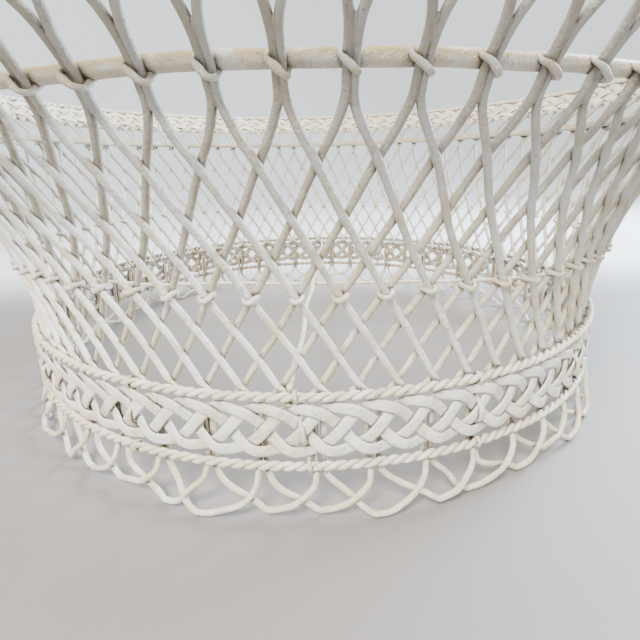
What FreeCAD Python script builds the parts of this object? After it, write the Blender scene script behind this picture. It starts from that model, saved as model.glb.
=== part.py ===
import FreeCAD, Part
import math
import os
from FreeCAD import Vector

# A round wirework basket: a flared lattice of crossing wires on a hoop, bound at the
# rim and at the base by bands of plaited flat wire between two-strand twisted ropes,
# standing on a skirt of overlapping wire loops. +Z is up, and the origin is the centre
# of the circle that the loops stand on. Bearings are counted from -Y, the front,
# towards +X, in degrees.

DIMENSIONS = {
    # alias: value in millimetres, degrees or a plain count
    "lattice_pairs": 75,
    "lattice_wire": 2.5,
    "lattice_bearing": -1.9,        # bearing of the pair nearest the front
    "lattice_foot_radius": 175.0,   # middle of the lattice where it meets the base
    "lattice_end_height": 48.5,
    "lattice_top_height": 169.5,
    "hoop_radius": 200.0,
    "hoop_wire": 4.4,
    "hoop_height": 152.5,
    "cross_one": 129.9,             # heights of the seven rows of crossings
    "cross_two": 114.2,
    "cross_three": 100.9,
    "cross_knots": 88.3,
    "cross_five": 76.1,
    "cross_six": 64.2,
    "cross_seven": 52.3,
    "tie_wire": 1.8,
    "rope_strand": 2.0,
    "base_top_radius": 179.5,
    "base_top_height": 51.0,
    "base_bottom_radius": 181.0,
    "base_bottom_height": 22.0,
    "rim_bottom_radius": 219.0,
    "rim_bottom_height": 167.3,
    "rim_top_radius": 230.5,
    "rim_top_height": 182.3,
    "base_lengths": 10,             # lengths that a base rope or strand is made in
    "base_rope_turns": 11,          # turns of the rope in each length
    "base_plait_waves": 2,          # waves of the plait in each length
    "rim_lengths": 12,
    "rim_rope_turns": 11,
    "rim_plait_waves": 2,
    "plait_width": 4.6,
    "plait_thickness": 1.4,
    "stay_wire": 1.6,
    "base_stays": 16,
    "base_stay_bearing": -1.8,      # bearing of the stay nearest the front
    "rim_stays": 24,
    "rim_stay_bearing": -1.5,
    "foot_loops": 52,
    "foot_wire": 2.5,
    "foot_radius": 183.5,
    "foot_lift": 3.0,               # how far the highest loops clear the ground
    "foot_splay": 4.0,              # how far out the most splayed tips stand
    "bar_wire": 2.6,
    "bar_bearing": -3.4,
    "bar_drop": 3.0,                # the side-to-side bar lies this far under the other
}

doc = FreeCAD.newDocument("wirework_basket")
sheet = doc.addObject("Spreadsheet::Sheet", "Dimensions")
for row, (alias, value) in enumerate(DIMENSIONS.items(), start=1):
    sheet.set(f"A{row}", alias)
    sheet.set(f"B{row}", str(value))
    sheet.setAlias(f"B{row}", alias)
doc.recompute()


def dim(alias):
    return float(getattr(sheet, alias))


def count(alias):
    return int(round(dim(alias)))


# ---- places on the basket ----

def place(bearing, radius, height):
    """The point at a bearing in degrees, a radius and a height."""
    angle = math.radians(bearing)
    return Vector(radius * math.sin(angle), -radius * math.cos(angle), height)


def lattice_radius(height):
    """Middle of the lattice: it stands upright at the base and flares as a parabola."""
    outside_hoop = dim("hoop_radius") + dim("hoop_wire") / 2 + dim("lattice_wire")
    rise = (height - dim("base_top_height")) / (dim("hoop_height") - dim("base_top_height"))
    return dim("lattice_foot_radius") + (outside_hoop - dim("lattice_foot_radius")) * rise ** 2


def lattice_pitch():
    return 360.0 / dim("lattice_pairs")


# ---- ways to make a wire ----

def rounded_path(points):
    """Straight runs between the points, with a tangent arc at every bend."""
    edges = []
    start = points[0]
    for before, corner, after in zip(points, points[1:], points[2:]):
        way_in = (corner - before).normalize()
        way_out = (after - corner).normalize()
        turn = way_in.getAngle(way_out)
        reach = 0.45 * min((corner - before).Length, (after - corner).Length)
        radius = reach / math.tan(turn / 2)
        bulge = radius * (1 / math.cos(turn / 2) - 1)
        arc_start = corner - way_in * reach
        arc_end = corner + way_out * reach
        arc_middle = corner + (way_out - way_in).normalize() * bulge
        edges.append(Part.LineSegment(start, arc_start).toShape())
        edges.append(Part.Arc(arc_start, arc_middle, arc_end).toShape())
        start = arc_end
    edges.append(Part.LineSegment(start, points[-1]).toShape())
    return Part.Wire(edges)


def bent_wire(points, diameter):
    """A round wire bent along the points."""
    end = Part.Circle(points[0], points[1] - points[0], diameter / 2)
    return rounded_path(points).makePipe(Part.Face(Part.Wire(end.toShape())))


def flat_wire(stations, width, thickness):
    """A flattened wire through stations of (centre, the way across it, outward)."""
    half, flat = width / 2, thickness / 2
    outline = [(half, 0), (0.65 * half, flat), (-0.65 * half, flat),
               (-half, 0), (-0.65 * half, -flat), (0.65 * half, -flat)]
    sections = []
    for centre, across, outward in stations:
        corners = [centre + across * side + outward * out for side, out in outline]
        sections.append(Part.makePolygon(corners + corners[:1]))
    return Part.makeLoft(sections, True, True)


def turned(shape, bearing):
    """A copy of a solid, turned about the basket's axis."""
    copy = shape.copy()
    copy.rotate(Vector(0, 0, 0), Vector(0, 0, 1), bearing)
    return copy


def add_part(label, solids):
    """Put the solids of one sub-part in the document under one label."""
    part = doc.addObject("Part::Feature", label)
    part.Shape = Part.makeCompound(solids)
    part.Placement = FreeCAD.Placement()
    part.Label = label


# ---- hoop and lattice ----

def make_hoop():
    """The plain thick hoop that the lattice is tied to from outside."""
    hoop = doc.addObject("Part::Torus", "hoop")
    hoop.setExpression("Radius1", "Dimensions.hoop_radius")
    hoop.setExpression("Radius2", "Dimensions.hoop_wire / 2")
    hoop.setExpression("Placement.Base.z", "Dimensions.hoop_height")
    hoop.Label = "hoop"


def lattice_points(lean):
    """One lattice wire from rim to base: lean is 1 to the right going down, or -1."""
    rim = dim("rim_bottom_height") - 2
    hoop_height = dim("hoop_height")
    rows = ["cross_one", "cross_two", "cross_three", "cross_knots", "cross_five",
            "cross_six", "cross_seven"]
    # Each spot is a height, half pitches sideways and wire widths outwards. The two wires
    # of a pair lie side by side on the hoop, and outer wires pass over inner ones below.
    spots = [(dim("lattice_top_height"), 0.64, 0.65), (rim, 0.44, 0.5),
             (hoop_height + 9.0, 0.25, 0.1), (hoop_height + 5.0, 0.152, -0.2),
             (hoop_height - 4.0, 0.15, -0.32), (hoop_height - 9.0, 0.18, -0.3),
             (hoop_height - 16.0, 0.53, 0.3 * lean)]
    spots += [(dim(row), step, 0.52 * lean) for step, row in enumerate(rows, start=1)]
    spots.append((dim("lattice_end_height"), 7.5, 0.5 * lean))
    pitch = lattice_pitch()
    return [place(dim("lattice_bearing") + lean * step * pitch / 2,
                  lattice_radius(height) + out * dim("lattice_wire"), height)
            for height, step, out in spots]


def make_lattice(sectors=5):
    """Outer wires lean right going down and inner ones lean left, in five sectors."""
    per_sector = count("lattice_pairs") // sectors
    wire = dim("lattice_wire")
    for name, lean in (("outer", 1), ("inner", -1)):
        pattern = bent_wire(lattice_points(lean), wire)
        for sector in range(sectors):
            wires = [turned(pattern, lattice_pitch() * (sector * per_sector + index))
                     for index in range(per_sector)]
            add_part(f"lattice_{name}_{sector + 1}", wires)


def make_hoop_ties():
    """Each tie winds round the hoop, slants down across its pair and winds on."""
    tie = dim("tie_wire")
    bearing = dim("lattice_bearing")
    wrap = 1.08 * (dim("hoop_wire") + tie) / 2
    front = (dim("hoop_wire") + tie) / 2 + 1.36 * dim("lattice_wire")
    route = [(-4.1, 0.5, -wrap), (-4.1, -wrap, -wrap), (-3.9, -wrap, wrap), (-3.8, wrap, wrap),
             (-3.7, 0.76 * front, 0.2), (-1.7, front, -1.7), (1.7, front, -3.7),
             (3.7, 0.76 * front, -4.6), (3.8, -wrap, -wrap), (3.9, -wrap, wrap),
             (4.0, wrap, wrap), (4.0, wrap, -0.6 * wrap)]
    points = [place(bearing + math.degrees(along / dim("hoop_radius")),
                    dim("hoop_radius") + out, dim("hoop_height") + up)
              for along, out, up in route]
    pattern = bent_wire(points, tie)
    ties = [turned(pattern, lattice_pitch() * index) for index in range(count("lattice_pairs"))]
    add_part("hoop_ties", ties)


def make_knot_ties():
    """A ring of thin wire round each crossing of the middle row."""
    tie = dim("tie_wire")
    height = dim("cross_knots")
    radius = lattice_radius(height)
    bearing = dim("lattice_bearing")
    side = dim("lattice_wire") / 2 + 0.75 * tie
    deep = dim("lattice_wire") + tie / 2
    route = [(0, -1, 0.3), (-1, -0.75, 0.2), (-1, 0.75, 0.5), (0, 1, 0.1), (1, 0.75, -0.5),
             (1, -0.75, -0.3), (0.2, -1, -0.5)]
    points = [place(bearing + math.degrees(side * along / radius), radius + deep * out,
                    height + tie * up) for along, out, up in route]
    pattern = bent_wire(points, tie)
    ties = [turned(pattern, lattice_pitch() * index) for index in range(count("lattice_pairs"))]
    add_part("knot_ties", ties)


# ---- twisted ropes and plaits ----

def make_rope(name, radius, height, lengths, turns):
    """A two-strand rope: each strand is a helix laid round the ring, in butted lengths."""
    strand = dim("rope_strand")
    arc = 360.0 / lengths
    steps = 4 * turns
    points = []
    for step in range(steps + 1):
        wind = math.pi / 2 * step
        points.append(place(arc * step / steps, radius + strand / 2 * math.cos(wind),
                            height + strand / 2 * math.sin(wind)))
    pattern = bent_wire(points, strand)
    for number in (1, 2):
        shift = arc / turns * (number - 1) / 2
        add_part(f"{name}_strand_{number}",
                 [turned(pattern, arc * index + shift) for index in range(lengths)])


def plait_station(angle, wave_bearing, bottom, top, lift, gap):
    """Where a plait strand is at an angle of its wave, between two ropes (radius, height)."""
    thickness = dim("plait_thickness")
    slope = Vector(top[0] - bottom[0], 0, top[1] - bottom[1])
    swing = (slope.Length - dim("plait_width")) / 2 - dim("rope_strand") - gap
    along = 0.5 + lift / slope.Length + swing / slope.Length * math.cos(angle)
    over = 0.62 * thickness * (0.207 * math.sin(angle) + 1.207 * math.sin(3 * angle))
    outward = Vector(slope.z, 0, -slope.x).normalize()
    radius = bottom[0] + slope.x * along + over * outward.x
    height = bottom[1] + slope.z * along + over * outward.z
    return place(wave_bearing, radius, height)


def make_plait(name, bottom, top, lengths, waves, lift, gap):
    """Four flat strands, each a quarter of a wave behind the last, over and under."""
    arc = 360.0 / lengths
    steps = 12 * waves
    shift = arc / waves / 4
    up = Vector(0, 0, 1)

    def centre(step):
        bearing = arc * step / steps
        return plait_station(2 * math.pi * waves * step / steps, bearing, bottom, top, lift, gap)

    stations = []
    for step in range(steps + 1):
        along = (centre(step + 0.5) - centre(step - 0.5)).normalize()
        bearing = arc * step / steps
        slope = place(bearing, top[0], top[1]) - place(bearing, bottom[0], bottom[1])
        outward = place(bearing + 90, 1, 0).cross(slope).normalize()
        across = along.cross(outward).normalize()
        stations.append((centre(step), across, across.cross(along).normalize()))
    pattern = flat_wire(stations, dim("plait_width"), dim("plait_thickness"))
    for number in range(4):
        add_part(f"{name}_strand_{number + 1}",
                 [turned(pattern, arc * index + shift * number - shift * 0.4)
                  for index in range(lengths)])


def make_stays(name, number, first_bearing, bottom, top):
    """Thin wires that hook round both ropes and show once in front of the plait's middle."""
    wire = dim("stay_wire")
    clear = dim("rope_strand") + wire / 2
    over = 1.6 * dim("plait_thickness") + wire / 2
    rise = Vector(top[0] - bottom[0], 0, top[1] - bottom[1])
    length = rise.Length
    rise.normalize()
    outward = Vector(rise.z, 0, -rise.x)
    half = [(1.3 * clear, -clear), (-clear, -clear), (-clear, clear), (0.5 * clear, clear),
            (0.26 * length + 0.2 * clear, -clear)]
    route = half + [(length / 2, over)] + [(length - along, out) for along, out in reversed(half)]
    points = [place(first_bearing, bottom[0] + rise.x * along + outward.x * out,
                    bottom[1] + rise.z * along + outward.z * out) for along, out in route]
    pattern = bent_wire(points, wire)
    add_part(name, [turned(pattern, 360.0 / number * index) for index in range(number)])


# ---- feet and floor bars ----

def foot_loop(index):
    """One loop: both ends climb inside the base band, and the tip stands on the ground."""
    wire = dim("foot_wire")
    half = wire / 2
    spacing = 360.0 / dim("foot_loops")
    shoulder = 0.62 * dim("base_bottom_height")
    hidden_end = dim("base_top_height") - 6.0
    inside = dim("base_bottom_radius") - dim("rope_strand") - half
    outside = dim("foot_radius")
    tip = 1.0 + 0.16 * math.sin(2.4 * index)
    splay = dim("foot_splay") * max(0.0, math.sin(1.3 * index + 0.8))
    ground = half + dim("foot_lift") * max(0.0, math.sin(1.9 * index))
    route = [(0.07, inside - 1.5, hidden_end), (0.07, inside, dim("base_bottom_height")),
             (0.17, outside - 3 - half, shoulder), (tip - 0.2, outside + 0.8 * splay - half, ground + 2),
             (tip, outside + splay, ground), (tip + 0.22, outside + 0.8 * splay + half, ground + 1.8),
             (1.6, outside + 0.3 * splay + half, 0.6 * shoulder), (1.9, outside - 2 + half, shoulder),
             (1.93, inside, dim("base_bottom_height")), (1.93, inside - 1.5, hidden_end)]
    points = [place(spacing * (index + along), radius, height) for along, radius, height in route]
    return bent_wire(points, wire)


def make_foot_loops(groups=2):
    """Two rounds of loops, each half a loop on from the other."""
    for group, name in enumerate(("first", "second")[:groups]):
        loops = [foot_loop(index) for index in range(group, count("foot_loops"), groups)]
        add_part(f"foot_loops_{name}_round", loops)


def make_floor_bar(name, bearing, drop):
    """A wire right across the floor, hooked under the upper rope of the base from inside."""
    ring = dim("base_top_radius")
    height = dim("base_top_height")
    clear = dim("rope_strand") + dim("bar_wire") / 2 + 0.2
    half = [(ring + 1, height - clear), (ring - clear, height - clear),
            (ring - clear - 0.6, height + 2.6), (ring - 3.2 * clear, height - 0.5 - drop * 0.5),
            (0.55 * ring, height - 2.5 - drop)]
    points = [place(bearing, radius, level) for radius, level in half]
    points += [place(bearing + 180, radius, level) for radius, level in reversed(half)]
    add_part(name, [bent_wire(points, dim("bar_wire"))])


base_top = (dim("base_top_radius"), dim("base_top_height"))
base_bottom = (dim("base_bottom_radius"), dim("base_bottom_height"))
rim_top = (dim("rim_top_radius"), dim("rim_top_height"))
rim_bottom = (dim("rim_bottom_radius"), dim("rim_bottom_height"))
base_lengths = count("base_lengths")
rim_lengths = count("rim_lengths")

make_hoop()
make_lattice()
make_hoop_ties()
make_knot_ties()
make_rope("base_upper_rope", *base_top, base_lengths, count("base_rope_turns"))
make_rope("base_lower_rope", *base_bottom, base_lengths, count("base_rope_turns"))
make_plait("base_plait", base_bottom, base_top, base_lengths, count("base_plait_waves"), 0.8, 1.2)
make_stays("base_stays", count("base_stays"), dim("base_stay_bearing"), base_bottom, base_top)
make_rope("rim_lower_rope", *rim_bottom, rim_lengths, count("rim_rope_turns"))
make_rope("rim_upper_rope", *rim_top, rim_lengths, count("rim_rope_turns"))
make_plait("rim_plait", rim_bottom, rim_top, rim_lengths, count("rim_plait_waves"), 0.0, -0.4)
make_stays("rim_stays", count("rim_stays"), dim("rim_stay_bearing"), rim_bottom, rim_top)
make_foot_loops()
make_floor_bar("floor_bar_front_to_back", dim("bar_bearing"), 0.0)
make_floor_bar("floor_bar_side_to_side", dim("bar_bearing") + 90, dim("bar_drop"))

doc.recompute()
parts = [item for item in doc.Objects if hasattr(item, "Shape")]
for part in parts:
    if "Invalid" in part.State or "Error" in part.State:
        raise RuntimeError(f"{part.Label} did not recompute")
    if part.Shape.isNull() or not part.Shape.isValid() or part.Shape.Volume <= 0:
        raise RuntimeError(f"{part.Label} has a bad shape")

os.makedirs("parts", exist_ok=True)
for part in parts:
    part.Shape.exportStep(f"parts/{part.Label}.step")
    print(part.Label, len(part.Shape.Solids), "solids", round(part.Shape.Volume), "mm3")
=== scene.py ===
import math
import bpy
import numpy as np
from mathutils import noise, Matrix, Vector


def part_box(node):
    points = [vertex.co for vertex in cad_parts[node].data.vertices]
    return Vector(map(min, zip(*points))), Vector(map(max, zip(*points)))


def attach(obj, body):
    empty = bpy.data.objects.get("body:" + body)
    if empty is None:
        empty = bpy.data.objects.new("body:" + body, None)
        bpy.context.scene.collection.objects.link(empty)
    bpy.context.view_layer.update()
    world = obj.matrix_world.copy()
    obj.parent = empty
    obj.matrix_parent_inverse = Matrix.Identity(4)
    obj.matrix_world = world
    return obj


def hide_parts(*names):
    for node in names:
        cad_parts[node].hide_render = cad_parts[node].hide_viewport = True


# A white-painted wirework basket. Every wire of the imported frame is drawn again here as
# a smooth, slightly crooked wire under thick old paint, in the place that its CAD node
# has. Lengths are in metres. Bearings are in degrees from -Y, the front, towards +X.

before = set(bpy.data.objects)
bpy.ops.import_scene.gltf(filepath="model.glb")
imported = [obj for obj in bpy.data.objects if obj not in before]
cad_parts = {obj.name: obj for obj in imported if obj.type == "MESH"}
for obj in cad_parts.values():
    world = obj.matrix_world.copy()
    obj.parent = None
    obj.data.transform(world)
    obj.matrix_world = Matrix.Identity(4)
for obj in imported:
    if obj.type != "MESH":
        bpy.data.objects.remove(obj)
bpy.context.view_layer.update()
rng = np.random.default_rng(7)
noise.seed_set(42)  # without it, noise_vector gives another basket each run
MM = 0.001

LATTICE_PAIRS = 75
LATTICE_SECTORS = 5
LATTICE_WIRE = 2.5 * MM
LATTICE_BEARING = -1.9
LATTICE_FOOT_RADIUS = 175 * MM
ROW_HEIGHTS = [129.9 * MM, 114.2 * MM, 100.9 * MM, 88.3 * MM, 76.1 * MM, 64.2 * MM, 52.3 * MM]
KNOT_ROW = 3
LATTICE_TOP = 169.5 * MM
LATTICE_END = 48.5 * MM
TIE_WIRE = 1.8 * MM
STAY_WIRE = 1.6 * MM
PLAIT_WIDTH = 4.5 * MM
PLAIT_THICKNESS = 1.4 * MM
STRAND = 2.0 * MM
FOOT_WIRE = 2.5 * MM
FOOT_LOOPS = 52
FOOT_RADIUS = 183.5 * MM
FOOT_LIFT = 3.0 * MM
FOOT_SPLAY = 4.0 * MM
BAR_WIRE = 2.6 * MM
BAR_BEARING = -3.4
PITCH = 360.0 / LATTICE_PAIRS
BASE_STAYS = 16
BASE_STAY_BEARING = -1.8
BASE_ROPE_TURNS = 110
BASE_PLAIT_WAVES = 20
RIM_STAYS = 24
RIM_STAY_BEARING = -1.5
RIM_ROPE_TURNS = 132
RIM_PLAIT_WAVES = 24
BAR_DROP = 3.0 * MM
ROPE_THICKNESS = 1.83 * STRAND


# ---- places, read from the frame ----

def ring_of(node, thickness):
    """Radius and height of the middle of a round ring, from its node's box."""
    low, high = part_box(node)
    return (high.x - low.x) / 2 - thickness / 2, (high.z + low.z) / 2


hoop_low, hoop_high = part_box("hoop")
HOOP_WIRE = hoop_high.z - hoop_low.z
HOOP_RADIUS, HOOP_HEIGHT = ring_of("hoop", HOOP_WIRE)
BASE_TOP = ring_of("base_upper_rope_strand_1", ROPE_THICKNESS)
BASE_BOTTOM = ring_of("base_lower_rope_strand_1", ROPE_THICKNESS)
RIM_TOP = ring_of("rim_upper_rope_strand_1", ROPE_THICKNESS)
RIM_BOTTOM = ring_of("rim_lower_rope_strand_1", ROPE_THICKNESS)


def place(bearing, radius, height):
    """Points at bearings, radii and heights, as an array of shape (n, 3)."""
    angle = np.radians(bearing)
    x, y, z = np.broadcast_arrays(radius * np.sin(angle), -radius * np.cos(angle), height)
    return np.stack([x, y, z], axis=-1).astype(float)


def lattice_radius(height):
    """Middle of the lattice: it stands upright at the base and flares as a parabola."""
    outside_hoop = HOOP_RADIUS + HOOP_WIRE / 2 + LATTICE_WIRE
    rise = (height - BASE_TOP[1]) / (HOOP_HEIGHT - BASE_TOP[1])
    return LATTICE_FOOT_RADIUS + (outside_hoop - LATTICE_FOOT_RADIUS) * rise ** 2


# ---- making wires ----

def curve_through(points, steps):
    """A smooth line through the points, with that many steps between each two."""
    points = np.asarray(points, float)
    padded = np.vstack([2 * points[0] - points[1], points, 2 * points[-1] - points[-2]])
    t = np.linspace(0, 1, steps, endpoint=False)[:, None]
    spans = []
    for a, b, c, d in zip(padded, padded[1:], padded[2:], padded[3:]):
        spans.append(0.5 * (2 * b + (c - a) * t + (2 * a - 5 * b + 4 * c - d) * t ** 2
                            + (3 * b - a - 3 * c + d) * t ** 3))
    return np.vstack(spans + [points[-1:]])


def noise_at(points, size):
    """Smooth noise from -1 to 1 at each point, for features of that size."""
    return np.array([noise.noise(Vector(p / size)) for p in points])


def crooked(points, amount, size, seed=0.0):
    """Points pushed a little out of line, the same way for points close together."""
    shift = np.array([noise.noise_vector(Vector(p / size) + Vector((seed, -seed, 2 * seed)))
                      for p in points])
    return points + amount * shift


def settled(points):
    """The hand-made unevenness of the whole basket: wires and ties move together.

    It fades out towards the base and the rim, where the bands hold the wires."""
    height, fade = points[:, 2:3], 20 * MM
    above_base = np.clip((height - 52 * MM) / fade, 0, 1)
    below_rim = np.clip((170 * MM - height) / fade, 0, 1)
    moved = crooked(points, 1.3 * MM, 34 * MM, 3.0)
    return points + (moved - points) * above_base * below_rim


def cross_frames(path, closed):
    """Two directions across a path at each point, turning as little as they can."""
    ahead = np.roll(path, -1, 0) - np.roll(path, 1, 0)
    if not closed:
        ahead[0] = path[1] - path[0]
        ahead[-1] = path[-1] - path[-2]
    ahead /= np.linalg.norm(ahead, axis=1)[:, None]
    side = np.cross(ahead[0], [0.3, 0.2, 1.0])
    sides = []
    for direction in ahead:
        side = side - direction * np.dot(side, direction)
        side = side / np.linalg.norm(side)
        sides.append(side)
    sides = np.array(sides)
    if closed:
        twist = math.atan2(np.dot(np.cross(sides[-1], sides[0]), ahead[0]),
                           np.dot(sides[-1], sides[0]))
        turn = np.linspace(0, twist, len(path))[:, None]
        sides = sides * np.cos(turn) + np.cross(ahead, sides) * np.sin(turn)
    return sides, np.cross(ahead, sides)


def sweep(path, outlines, side, up, closed):
    """Rings of points round a path, joined and capped. outlines is (rings, points, 2)."""
    rings = path[:, None] + side[:, None] * outlines[..., :1] + up[:, None] * outlines[..., 1:]
    count, around = outlines.shape[:2]
    spans = count if closed else count - 1  # a closed path's last ring joins its first
    i, j = np.meshgrid(np.arange(spans), np.arange(around), indexing="ij")
    nxt, beside = (i + 1) % count, (j + 1) % around
    faces = np.stack([i * around + j, i * around + beside, nxt * around + beside,
                      nxt * around + j], axis=-1).reshape(-1, 4).tolist()
    if not closed:
        last = (count - 1) * around
        faces.append(list(range(around - 1, -1, -1)))
        faces.append(list(range(last, last + around)))
    return rings.reshape(-1, 3), faces


def round_wire(path, thickness, sides=10, closed=False, lumps=0.07):
    """A round wire under lumpy paint, with rounded ends."""
    angle = np.linspace(0, 2 * math.pi, sides, endpoint=False)
    outline = np.stack([np.cos(angle), np.sin(angle)], -1)
    widest = np.max(thickness)
    uneven = noise_at(path, 3.5 * widest) + 0.6 * noise_at(path, 1.4 * widest)
    size = np.full(len(path), 0.5) * thickness * (1 + lumps * uneven)
    if not closed:
        size[[0, -1]] *= 0.45
        size[[1, -2]] *= 0.92
    outlines = size[:, None, None] * outline[None]
    return sweep(path, outlines, *cross_frames(path, closed), closed)


def flat_wire(path, across, outward, width, thickness, sides=14):
    """A closed flattened wire: across and outward say how it lies at each point."""
    angle = np.linspace(0, 2 * math.pi, sides, endpoint=False)
    outline = np.stack([np.sign(np.cos(angle)) * np.abs(np.cos(angle)) ** 0.7,
                        np.sign(np.sin(angle)) * np.abs(np.sin(angle)) ** 0.55], -1)
    size = 1 + 0.06 * noise_at(path, 3 * width)
    outlines = outline[None] * np.array([width / 2, thickness / 2]) * size[:, None, None]
    return sweep(path, outlines, across, outward, closed=True)


def add_piece(node, wires, material):
    """One object from many wires, standing for the CAD node and riding with it."""
    verts, faces, start = [], [], 0
    for points, sides in wires:
        verts.append(points)
        faces += [[corner + start for corner in face] for face in sides]
        start += len(points)
    mesh = bpy.data.meshes.new(node + "_painted")
    mesh.from_pydata(np.vstack(verts).tolist(), [], faces)
    mesh.shade_smooth()
    piece = bpy.data.objects.new(node + "_painted", mesh)
    bpy.context.scene.collection.objects.link(piece)
    piece.data.materials.append(material)
    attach(piece, "root")
    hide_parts(node)


# ---- hoop and lattice ----

def make_hoop(material):
    bearings = np.linspace(0, 360, 720, endpoint=False)
    path = settled(place(bearings, HOOP_RADIUS, HOOP_HEIGHT))
    add_piece("hoop", [round_wire(path, HOOP_WIRE, sides=16, closed=True, lumps=0.05)], material)


def lattice_line(pair, lean):
    """One lattice wire from rim to base: lean is 1 to the right going down, or -1."""
    # Each spot is a height, half pitches sideways and wire widths outwards. The two wires
    # of a pair lie side by side on the hoop, and outer wires pass over inner ones below.
    spots = [(LATTICE_TOP, 0.64, 0.65), (RIM_BOTTOM[1] - 2 * MM, 0.44, 0.5),
             (HOOP_HEIGHT + 9 * MM, 0.25, 0.1), (HOOP_HEIGHT + 5 * MM, 0.125, -0.2),
             (HOOP_HEIGHT, 0.1, -0.45), (HOOP_HEIGHT - 4 * MM, 0.105, -0.36),
             (HOOP_HEIGHT - 9 * MM, 0.16, -0.3), (HOOP_HEIGHT - 16 * MM, 0.53, 0.3 * lean)]
    spots += [(height, step, 0.47 * lean) for step, height in enumerate(ROW_HEIGHTS, start=1)]
    spots.append((LATTICE_END, 7.5, 0.47 * lean))
    heights, steps, out = np.array(spots).T
    bearings = LATTICE_BEARING + PITCH * (pair + lean * steps / 2)
    points = place(bearings, lattice_radius(heights) + out * LATTICE_WIRE, heights)
    own = crooked(curve_through(points, 6), 0.4 * MM, 24 * MM, 10.0 + pair + 100 * lean)
    return settled(crooked(own, 0.16 * MM, 6 * MM, 5.0 + pair))


def lattice_wire(pair, lean):
    """A lattice wire with the paint thicker where it gathers at the crossings."""
    path = lattice_line(pair, lean)
    swell = sum(np.exp(-((path[:, 2] - height) / (1.6 * MM)) ** 2) for height in ROW_HEIGHTS)
    return round_wire(path, LATTICE_WIRE * (1 + 0.12 * swell), lumps=0.09)


def paint_web(pair):
    """Paint that fills the groove between the two wires of a pair where they touch."""
    heights = HOOP_HEIGHT + np.array([6.5, 5.0, 2.5, 0.0, -4.0, -7.0, -9.4]) * MM
    out = np.array([-0.15, -0.2, -0.35, -0.45, -0.36, -0.3, -0.3])
    bearing = LATTICE_BEARING + PITCH * pair
    points = place(bearing, lattice_radius(heights) + out * LATTICE_WIRE, heights)
    return round_wire(settled(curve_through(points, 4)), 0.72 * LATTICE_WIRE, sides=8)


def make_lattice(outer_paint, inner_paint):
    per_sector = LATTICE_PAIRS // LATTICE_SECTORS
    for name, lean, material in (("outer", 1, outer_paint), ("inner", -1, inner_paint)):
        for sector in range(LATTICE_SECTORS):
            pairs = range(sector * per_sector, (sector + 1) * per_sector)
            wires = [lattice_wire(pair, lean) for pair in pairs]
            if lean > 0:
                wires += [paint_web(pair) for pair in pairs]
            add_piece(f"lattice_{name}_{sector + 1}", wires, material)


def hoop_tie_route():
    """A tie comes out of the paint on the hoop, bulges down across its pair and curls under."""
    wrap = HOOP_WIRE / 2 / MM + 0.1
    front = (HOOP_WIRE / 2 + 1.3 * LATTICE_WIRE) / MM
    sunk = wrap - 0.75
    half = 0.72 * sunk
    route = [(-2.3, -sunk, 0), (-2.3, -half, half), (-2.3, 0, sunk), (-2.35, half, half),
             (-2.4, 0.55 * front, -0.1), (-2.2, 0.8 * front, -0.9), (-1.6, 0.95 * front, -1.6),
             (-0.7, 1.0 * front, -2.5), (0.3, 1.0 * front, -3.4), (1.1, 0.94 * front, -3.9),
             (1.7, 0.78 * front, -4.0), (1.8, 0.5 * front, -3.7), (1.7, 1.0, -wrap - 0.3),
             (1.9, -0.3 * half, -sunk), (2.1, -half, -half), (2.2, -sunk, 0),
             (2.2, -half, half), (2.2, 0, sunk), (2.2, half, half)]
    return np.array(route) * MM


def make_hoop_ties(material):
    route = hoop_tie_route()
    ties = []
    for pair in range(LATTICE_PAIRS):
        bearing = LATTICE_BEARING + PITCH * pair + rng.uniform(-0.08, 0.08)
        size = 1 + rng.uniform(-0.08, 0.1) * np.array([1.0, 0.0, 1.0])
        first, last = rng.integers(0, 3), len(route) - rng.integers(0, 3)
        along, out, up = (route[first:last] * size).T
        line = place(bearing + np.degrees(along / HOOP_RADIUS), HOOP_RADIUS + out,
                     HOOP_HEIGHT + up)
        line = crooked(curve_through(line, 4), 0.35 * MM, 5 * MM)
        bulge = np.exp(-((line[:, 2] - HOOP_HEIGHT + 2.6 * MM) / (1.8 * MM)) ** 2)
        thickness = TIE_WIRE * (0.74 + 0.36 * bulge)
        ties.append(round_wire(settled(line), thickness, sides=9, lumps=0.14))
    add_piece("hoop_ties", ties, material)


def make_knot_ties(material):
    """A short thick wrap round each crossing of the knotted row."""
    height = ROW_HEIGHTS[KNOT_ROW]
    radius = lattice_radius(height)
    ties = []
    for pair in range(LATTICE_PAIRS):
        start = rng.uniform(150, 210)
        turn = np.radians(np.linspace(start, start - 440, 40))
        lean = rng.uniform(-0.25, 0.45) * MM
        along = 1.95 * MM * np.sin(turn)
        out = 1.18 * LATTICE_WIRE * np.cos(turn)
        sag = rng.uniform(0.5, 1.3) * MM * np.maximum(0, np.cos(turn)) ** 2
        rise = lean * np.sin(turn) - sag + np.linspace(0.9, -0.2, len(turn)) * MM
        line = place(LATTICE_BEARING + PITCH * pair + np.degrees(along / radius),
                     radius + out, height + rise)
        ties.append(round_wire(settled(crooked(line, 0.45 * MM, 5 * MM)), 1.1 * TIE_WIRE, sides=9,
                               lumps=0.2))
    add_piece("knot_ties", ties, material)


# ---- ropes, plaits and stays ----

def ring_noise(bearings, size, seed):
    """Noise from -1 to 1 along a ring, the same after a whole turn."""
    angle = np.radians(bearings)
    reach = HOOP_RADIUS / size
    return np.array([noise.noise(Vector((reach * math.cos(a) + seed, reach * math.sin(a), seed)))
                     for a in angle])


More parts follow.
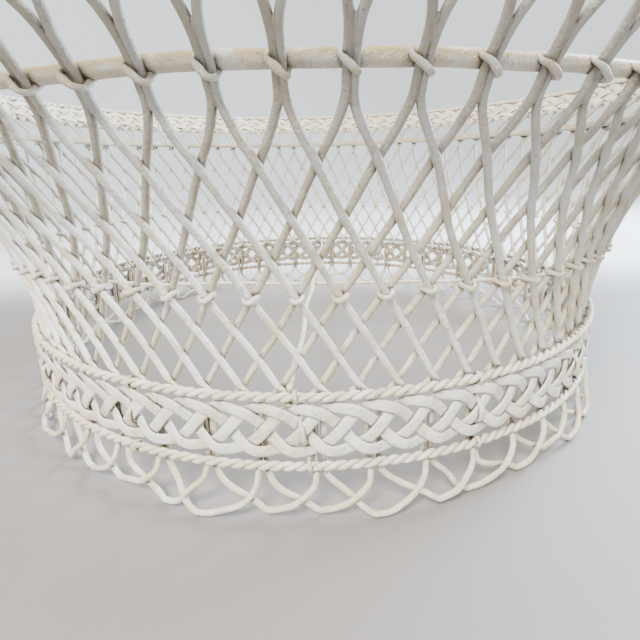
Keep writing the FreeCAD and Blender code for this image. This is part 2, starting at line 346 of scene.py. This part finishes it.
def make_rope(name, ring, turns, seed, material):
    """Two strands laid round each other, rising to the right on the outside."""
    bearings = np.linspace(0, 360, 9 * turns, endpoint=False)
    wind = np.radians(bearings * turns) + 0.6 * ring_noise(bearings, 30 * MM, seed)
    sag = 0.35 * MM * ring_noise(bearings, 60 * MM, seed + 5)
    swell = 0.35 * MM * ring_noise(bearings, 45 * MM, seed + 9)
    for number in (1, 2):
        lay = wind + math.pi * (number - 1)
        path = place(bearings, ring[0] + swell + 0.42 * STRAND * np.cos(lay),
                     ring[1] + sag + 0.42 * STRAND * np.sin(lay))
        strand = round_wire(path, 1.17 * STRAND, sides=10, closed=True, lumps=0.07)
        add_piece(f"{name}_strand_{number}", [strand], material)


def plait_line(bottom, top, waves, number, lift, gap, bearings):
    """Middle of one strand of a four-strand plait, and which way is out of the band."""
    bottom, top = np.array(bottom), np.array(top)
    slope = top - bottom
    length = np.hypot(*slope)
    swing = (length - PLAIT_WIDTH) / 2 - STRAND - gap
    shift = 360 / waves / 4
    angle = np.radians((bearings - shift * (number - 0.4)) * waves)
    side = ring_noise(bearings, 22 * MM, 40.0 + number)
    along = 0.5 + (lift + swing * (1.05 * np.cos(angle) - 0.05 * np.cos(3 * angle))
                   + 0.35 * MM * side) / length
    over = 0.62 * PLAIT_THICKNESS * (0.207 * np.sin(angle) + 1.207 * np.sin(3 * angle))
    out = np.array([slope[1], -slope[0]]) / length
    path = place(bearings, bottom[0] + slope[0] * along + over * out[0],
                 bottom[1] + slope[1] * along + over * out[1])
    return path, place(bearings, out[0], out[1])


def make_plait(name, bottom, top, waves, lift, gap, material):
    bearings = np.linspace(0, 360, 26 * waves, endpoint=False)
    for number in range(4):
        path, outward = plait_line(bottom, top, waves, number, lift, gap, bearings)
        ahead = np.roll(path, -1, 0) - np.roll(path, 1, 0)
        across = np.cross(ahead, outward)
        across /= np.linalg.norm(across, axis=1)[:, None]
        outward = np.cross(across, ahead)
        outward /= np.linalg.norm(outward, axis=1)[:, None]
        strand = flat_wire(path, across, outward, PLAIT_WIDTH, PLAIT_THICKNESS)
        add_piece(f"{name}_strand_{number + 1}", [strand], material)


def make_stays(name, bottom, top, number, first_bearing, material):
    """Thin wires wrapped round both ropes that come out once over the plait's middle."""
    bottom, top = np.array(bottom), np.array(top)
    slope = top - bottom
    length = np.hypot(*slope)
    rise = slope / length
    out = np.array([rise[1], -rise[0]])
    wrap = 0.5 * STRAND + STAY_WIRE / 2
    behind = -1.7 * PLAIT_THICKNESS
    over = 1.2 * PLAIT_THICKNESS + 0.5 * STAY_WIRE
    half = [(1.3 * wrap, -1.1 * wrap), (0.1 * wrap, -wrap), (-0.75 * wrap, -0.65 * wrap),
            (-0.95 * wrap, 0.1 * wrap), (-0.6 * wrap, 0.75 * wrap), (0.2 * wrap, 0.95 * wrap),
            (1.0 * wrap, 0.35 * wrap), (1.35 * wrap, -0.9 * wrap), (0.27 * length, behind),
            (0.34 * length, -0.1 * PLAIT_THICKNESS), (0.42 * length, 0.85 * over)]
    route = half + [(0.53 * length, over)] + [(length - a, o) for a, o in reversed(half)]
    route = np.array(route)
    stays = []
    for index in range(number):
        spots = bottom + route[:, :1] * rise + route[:, 1:] * out
        lean = (rng.uniform(-1.4, 0.6) if index else -1.4) * (route[:, 0] / length - 0.5)
        bearings = first_bearing + 360 / number * index + lean
        points = curve_through(place(bearings, spots[:, 0], spots[:, 1]), 4)
        middle = np.exp(-np.linspace(-5, 5, len(points)) ** 2)
        stays.append(round_wire(crooked(points, 0.4 * MM, 7 * MM, index),
                                STAY_WIRE * (1 + 0.35 * middle), sides=9, lumps=0.12))
    add_piece(name, stays, material)


# ---- feet and floor bars ----

def foot_loop(index, ground):
    """A loop with a straight left leg, a sharp tip and a right leg that curls up."""
    spacing = 360 / FOOT_LOOPS
    inside = BASE_BOTTOM[0] - STRAND - FOOT_WIRE / 2
    lower = BASE_BOTTOM[1]
    half = FOOT_WIRE / 2
    tip = 1.0 + 0.16 * math.sin(2.4 * index)
    lift = FOOT_LIFT * max(0.0, math.sin(1.9 * index))
    splay = FOOT_SPLAY * max(0.0, math.sin(1.3 * index + 0.8))
    low = ground + half + lift
    bend = rng.uniform(-0.12, 0.12, 3)
    curl = rng.uniform(-1, 1.2) * MM
    left, right = 0.07 + 0.3 * bend[0], 1.93 + 0.3 * bend[2]
    tip_radius = FOOT_RADIUS + splay
    route = [(left, inside - 1.5 * MM, BASE_TOP[1] - 6 * MM), (left, inside, lower),
             (left + 0.05, FOOT_RADIUS - 3 * MM - half, 0.74 * lower),
             (0.33 + bend[0], FOOT_RADIUS - 1.5 * MM - half, 0.46 * lower + 0.4 * lift),
             (tip - 0.25, tip_radius - 0.2 * splay - 0.7 * half, low + 3.2 * MM),
             (tip - 0.04, tip_radius, low + 0.25 * MM), (tip + 0.06, tip_radius, low),
             (tip + 0.3, tip_radius - 0.2 * splay + half, low + 2.2 * MM + 0.4 * curl),
             (1.6 + 0.4 * bend[1], FOOT_RADIUS + 0.3 * splay + half, 0.36 * lower + curl),
             (1.88 + 0.3 * bend[2], FOOT_RADIUS - 1.5 * MM + half, 0.6 * lower + curl),
             (right + 0.01, FOOT_RADIUS - 3.5 * MM + half, 0.84 * lower),
             (right, inside, lower + 2 * MM), (right, inside - 1.5 * MM, BASE_TOP[1] - 6 * MM)]
    along, radius, height = np.array(route).T
    points = curve_through(place(spacing * (index + along), radius, height), 5)
    return crooked(points, 0.35 * MM, 14 * MM, index)


def make_foot_loops(material):
    for group, name in enumerate(("first", "second")):
        node = f"foot_loops_{name}_round"
        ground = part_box(node)[0].z
        loops = []
        for index in range(group, FOOT_LOOPS, 2):
            line = foot_loop(index, ground)
            line[:, 2] = np.maximum(line[:, 2], ground + 0.56 * FOOT_WIRE)
            loops.append(round_wire(line, FOOT_WIRE, lumps=0.08))
        add_piece(node, loops, material)


def make_floor_bar(node, bearing, drop, material):
    """A crooked wire across the floor, hooked under the upper rope of the base from inside."""
    ring, height = BASE_TOP
    clear = STRAND + BAR_WIRE / 2
    half = [(ring + 0.4 * MM, height - clear - 0.2 * MM),
            (ring - 0.75 * clear, height - 0.9 * clear), (ring - 1.15 * clear, height),
            (ring - 1.7 * clear, height + 1.6 * MM), (ring - 3.4 * clear, height - 0.5 * drop),
            (0.72 * ring, height - 2 * MM - drop), (0.4 * ring, height - 2.5 * MM - drop)]
    points = [place(bearing, radius, level) for radius, level in half]
    points += [place(bearing + 180, radius, level) for radius, level in reversed(half)]
    line = curve_through(np.array(points), 9)
    inner = np.clip((ring - 8 * MM - np.hypot(line[:, 0], line[:, 1])) / (30 * MM), 0, 1)
    bent = crooked(line, 3.5 * MM, 55 * MM, drop * 100)
    line[:, :2] += (bent - line)[:, :2] * inner[:, None]
    add_piece(node, [round_wire(line, BAR_WIRE, sides=12)], material)


# ---- paint ----

class Nodes:
    """Short ways to add shader nodes to a material."""

    def __init__(self, name):
        self.material = bpy.data.materials.new(name)
        self.material.use_nodes = True
        self.tree = self.material.node_tree
        self.shader = self.tree.nodes["Principled BSDF"]

    def add(self, kind, inputs=(), **settings):
        node = self.tree.nodes.new("ShaderNode" + kind)
        for key, value in settings.items():
            setattr(node, key, value)
        for key, value in dict(inputs).items():
            if isinstance(value, bpy.types.NodeSocket):
                self.tree.links.new(value, node.inputs[key])
            else:
                node.inputs[key].default_value = value
        return node

    def link(self, output, socket):
        self.tree.links.new(output, socket)

    def noise(self, size, detail=3.0, rough=0.55):
        """Noise from 0 to 1 with features of that size in metres."""
        spot = self.add("NewGeometry").outputs["Position"]
        return self.add("TexNoise", {"Vector": spot, "Scale": 1 / size, "Detail": detail,
                                     "Roughness": rough}).outputs["Fac"]

    def between(self, value, low, high):
        """Zero below low, one above high, smooth between. High may be the smaller."""
        return self.add("MapRange", {"Value": value, "From Min": low, "From Max": high},
                        interpolation_type="SMOOTHSTEP").outputs["Result"]

    def math(self, operation, a, b):
        return self.add("Math", {0: a, 1: b}, operation=operation).outputs[0]

    def mix(self, factor, a, b):
        node = self.tree.nodes.new("ShaderNodeMix")
        node.data_type = "RGBA"
        for index, value in ((0, factor), (6, a), (7, b)):
            if isinstance(value, bpy.types.NodeSocket):
                self.tree.links.new(value, node.inputs[index])
            else:
                node.inputs[index].default_value = value
        return node.outputs[2]


CREAM = (0.78, 0.69, 0.50, 1)
WHITE = (0.88, 0.855, 0.78, 1)
FILM = (0.31, 0.275, 0.215, 1)
TAN = (0.40, 0.30, 0.145, 1)
# the grey below is painted shade, laid on the upper wires and the hoop
SHADE_GREY = (0.20, 0.195, 0.185, 1)
SOOT = (0.16, 0.12, 0.085, 1)
# the dark brown below is crevice dirt together with painted crevice shade
DIRT_AND_SHADE = (0.085, 0.055, 0.032, 1)
RUST = (0.27, 0.19, 0.115, 1)


def old_paint(name, white=0.5, grime_and_shade=0.5, specks=0.5, stain=0.0, inner_rust=0.0, dull=0.0,
              painted_shade_top=0.0):
    """Thick yellowed cream oil paint, speckled and lumpy; dirt and painted shade in its crevices.

    white, grime and specks say how much of each there is, grime also of the painted crevice
    shade. stain yellows what faces up, inner_rust browns the inside of the base band, dull
    darkens all of it, and painted_shade_top greys it with painted shade towards the hoop and
    above."""
    n = Nodes(name)
    mottle = n.noise(11 * MM, 6.0, 0.65)
    colour = n.mix(n.between(mottle, 0.6 - 0.3 * white, 0.75 - 0.3 * white), CREAM, WHITE)
    if dull:
        colour = n.mix(dull, colour, FILM)
    geometry = n.add("NewGeometry")
    height = n.add("SeparateXYZ", {0: geometry.outputs["Position"]}).outputs["Z"]
    # Painted shade: grey rising with height to the hoop, for shade on the upper wires.
    if painted_shade_top:
        painted_shade_rise = n.between(height, 0.375 * HOOP_HEIGHT, HOOP_HEIGHT)
        colour = n.mix(n.math("MULTIPLY", painted_shade_rise, painted_shade_top), colour, SHADE_GREY)
    film = n.between(n.noise(7 * MM, 6.0, 0.7), 0.66 - 0.2 * grime_and_shade, 0.82 - 0.2 * grime_and_shade)
    colour = n.mix(n.math("MULTIPLY", film, 0.2 + 0.5 * grime_and_shade), colour, FILM)
    if stain:
        facing = n.add("SeparateXYZ", {0: geometry.outputs["Normal"]}).outputs["Z"]
        yellow = n.math("MULTIPLY", n.between(facing, -0.35, 0.55),
                        n.between(n.noise(10 * MM, 6.0, 0.7), 0.3, 0.52))
        colour = n.mix(n.math("MULTIPLY", yellow, stain), colour, TAN)
    if inner_rust:
        flat = n.add("VectorMath", {0: geometry.outputs["Position"], 1: (1, 1, 0)},
                     operation="MULTIPLY").outputs[0]
        outward = n.add("VectorMath", {0: flat}, operation="NORMALIZE").outputs[0]
        away = n.add("VectorMath", {0: outward, 1: geometry.outputs["Normal"]},
                     operation="DOT_PRODUCT").outputs["Value"]
        patchy = n.add("MapRange", {"Value": n.noise(6 * MM, 6.0, 0.7), "From Min": 0.3,
                                    "From Max": 0.6, "To Min": 0.35}).outputs["Result"]
        inside = n.math("MULTIPLY", n.between(away, 0.15, -0.5), patchy)
        inside = n.math("MULTIPLY", inside,
                        n.between(height, 0.7 * BASE_BOTTOM[1], 0.95 * BASE_BOTTOM[1]))
        colour = n.mix(n.math("MULTIPLY", inside, inner_rust), colour, RUST)
    # Dirt and painted shade: occlusion, broken by noise, darkens creases and gaps between wires.
    crevice = n.add("AmbientOcclusion", {"Distance": 3.0 * MM}, samples=6).outputs["AO"]
    dirt_and_shade = n.math("MULTIPLY", n.between(crevice, 0.86, 0.36),
                   n.between(n.noise(2.5 * MM, 4.0), 0.15, 0.5))
    colour = n.mix(n.math("MULTIPLY", dirt_and_shade, min(1.0, 0.9 * grime_and_shade + 0.35)), colour, DIRT_AND_SHADE)
    dots = n.between(n.noise(1.1 * MM, 4.0, 0.75), 0.68 - 0.12 * specks, 0.74 - 0.12 * specks)
    colour = n.mix(n.math("MULTIPLY", dots, 0.7), colour, SOOT)
    n.link(colour, n.shader.inputs["Base Color"])
    gloss = n.add("MapRange", {"Value": n.noise(4 * MM, 4.0), "To Min": 0.34, "To Max": 0.62})
    rough = n.math("ADD", gloss.outputs["Result"], n.math("MULTIPLY", dirt_and_shade, 0.3))
    n.link(rough, n.shader.inputs["Roughness"])
    n.shader.inputs["Specular IOR Level"].default_value = 0.42
    lumps = n.math("ADD", n.math("MULTIPLY", n.noise(2.4 * MM, 3.0), 0.6),
                   n.math("MULTIPLY", n.noise(0.6 * MM, 4.0, 0.65), 0.3))
    lumps = n.math("SUBTRACT", lumps, n.math("MULTIPLY", dots, 0.1))
    bump = n.add("Bump", {"Height": lumps, "Strength": 0.8, "Distance": 1.5 * MM})
    n.link(bump.outputs["Normal"], n.shader.inputs["Normal"])
    return n.material


# painted_shade_top sets how strongly painted shade greys each paint towards the hoop and above.
outer_paint = old_paint("paint_outer_lattice", white=0.7, grime_and_shade=0.5, specks=0.4, painted_shade_top=0.62)
inner_paint = old_paint("paint_inner_lattice", white=0.3, grime_and_shade=0.8, specks=0.6, dull=0.22,
                        painted_shade_top=0.62)
hoop_paint = old_paint("paint_hoop", white=0.4, grime_and_shade=0.7, specks=0.6, stain=0.95, painted_shade_top=0.3)
tie_paint = old_paint("paint_ties", white=0.6, grime_and_shade=0.6, specks=0.4, stain=0.3, painted_shade_top=0.45)
rope_paint = old_paint("paint_ropes", white=0.4, grime_and_shade=0.6, specks=0.5, inner_rust=0.8)
rim_paint = old_paint("paint_rim", white=0.5, grime_and_shade=0.6, specks=0.4, stain=0.35)
plait_paint = old_paint("paint_base_plait", white=0.75, grime_and_shade=0.5, specks=0.55, inner_rust=0.85)
foot_paint = old_paint("paint_feet", white=0.45, grime_and_shade=0.55, specks=0.5, stain=0.2, inner_rust=0.9)
bar_paint = old_paint("paint_bars", white=0.4, grime_and_shade=0.7, specks=0.7)

make_hoop(hoop_paint)
make_lattice(outer_paint, inner_paint)
make_hoop_ties(tie_paint)
make_knot_ties(tie_paint)
make_rope("base_upper_rope", BASE_TOP, BASE_ROPE_TURNS, 1.0, rope_paint)
make_rope("base_lower_rope", BASE_BOTTOM, BASE_ROPE_TURNS, 2.0, rope_paint)
make_plait("base_plait", BASE_BOTTOM, BASE_TOP, BASE_PLAIT_WAVES, 0.8 * MM, 1.2 * MM,
           plait_paint)
make_stays("base_stays", BASE_BOTTOM, BASE_TOP, BASE_STAYS, BASE_STAY_BEARING, rope_paint)
make_rope("rim_lower_rope", RIM_BOTTOM, RIM_ROPE_TURNS, 3.0, rim_paint)
make_rope("rim_upper_rope", RIM_TOP, RIM_ROPE_TURNS, 4.0, rim_paint)
make_plait("rim_plait", RIM_BOTTOM, RIM_TOP, RIM_PLAIT_WAVES, 0.0, -0.4 * MM, rim_paint)
make_stays("rim_stays", RIM_BOTTOM, RIM_TOP, RIM_STAYS, RIM_STAY_BEARING, rim_paint)
make_foot_loops(foot_paint)
make_floor_bar("floor_bar_front_to_back", BAR_BEARING, 0.0, bar_paint)
make_floor_bar("floor_bar_side_to_side", BAR_BEARING + 90, BAR_DROP, bar_paint)


# ---- studio ----

def make_studio():
    """A pale round floor that curves up into a wall on every side."""
    flat, bend, wall_top = 1.4, 0.9, 2.6
    profile = [(0.0, 0.0), (flat, 0.0)]
    profile += [(flat + bend * math.sin(a), bend - bend * math.cos(a))
                for a in np.linspace(0.05, math.pi / 2, 16)]
    profile.append((flat + bend, wall_top))
    verts, faces, sides = [], [], 96
    for radius, height in profile:
        for k in range(sides):
            angle = 2 * math.pi * k / sides
            verts.append((radius * math.cos(angle), radius * math.sin(angle), height))
    for ring in range(len(profile) - 1):
        for k in range(sides):
            a, b = ring * sides + k, ring * sides + (k + 1) % sides
            faces.append((a, a + sides, b + sides, b))
    mesh = bpy.data.meshes.new("studio_floor")
    mesh.from_pydata(verts, [], faces)
    mesh.shade_smooth()
    floor = bpy.data.objects.new("studio_floor", mesh)
    bpy.context.scene.collection.objects.link(floor)
    n = Nodes("pale_paper")
    spot = n.add("SeparateXYZ", {0: n.add("NewGeometry").outputs["Position"]}).outputs
    paler = n.math("MAXIMUM", n.between(spot["Y"], 0.08, 0.3), n.between(spot["Z"], 0.0, 0.35))
    n.link(n.mix(paler, (0.25, 0.23, 0.215, 1), (0.84, 0.85, 0.86, 1)),
           n.shader.inputs["Base Color"])
    n.shader.inputs["Roughness"].default_value = 0.6
    floor.data.materials.append(n.material)


def make_light(name, spot, size, power, colour):
    """A square soft light that faces the basket."""
    lamp = bpy.data.lights.new(name, "AREA")
    lamp.size = size
    lamp.energy = power
    lamp.color = colour
    light = bpy.data.objects.new(name, lamp)
    light.location = spot
    towards_basket = Vector((0, 0, 0.08)) - Vector(spot)
    light.rotation_euler = towards_basket.to_track_quat("-Z", "Y").to_euler()
    bpy.context.scene.collection.objects.link(light)


make_studio()
make_light("window", (1.05, 0.55, 0.75), 0.5, 60, (0.68, 0.83, 1.0))
make_light("ceiling", (0.0, 0.25, 1.7), 1.0, 26, (1.0, 0.98, 0.96))
make_light("front_top", (-0.35, -1.0, 1.2), 0.5, 62, (1.0, 0.97, 0.92))
world = bpy.data.worlds.new("room")
world.use_nodes = True
room_light = world.node_tree.nodes["Background"].inputs
room_light["Color"].default_value = (0.95, 0.97, 1.0, 1)
room_light["Strength"].default_value = 0.12
bpy.context.scene.world = world



def make_camera(spot, turn, pitch, roll, lens):
    """A close camera in front of the basket. Turn and roll are in radians."""
    camera = bpy.data.objects.new("camera", bpy.data.cameras.new("camera"))
    camera.data.lens = lens
    camera.data.sensor_width = 36
    camera.data.clip_start = 0.01
    ahead = Vector((math.sin(turn), math.cos(turn), 0)) * math.cos(math.radians(pitch))
    ahead.z = -math.sin(math.radians(pitch))
    aim = ahead.to_track_quat("-Z", "Y").to_matrix() @ Matrix.Rotation(roll, 3, "Z")
    camera.matrix_world = Matrix.Translation(spot) @ aim.to_4x4()
    bpy.context.scene.collection.objects.link(camera)
    bpy.context.scene.camera = camera


make_camera(spot=(0, -0.3121, 0.1286), turn=0.0124, pitch=19.98, roll=-0.023, lens=23.64)
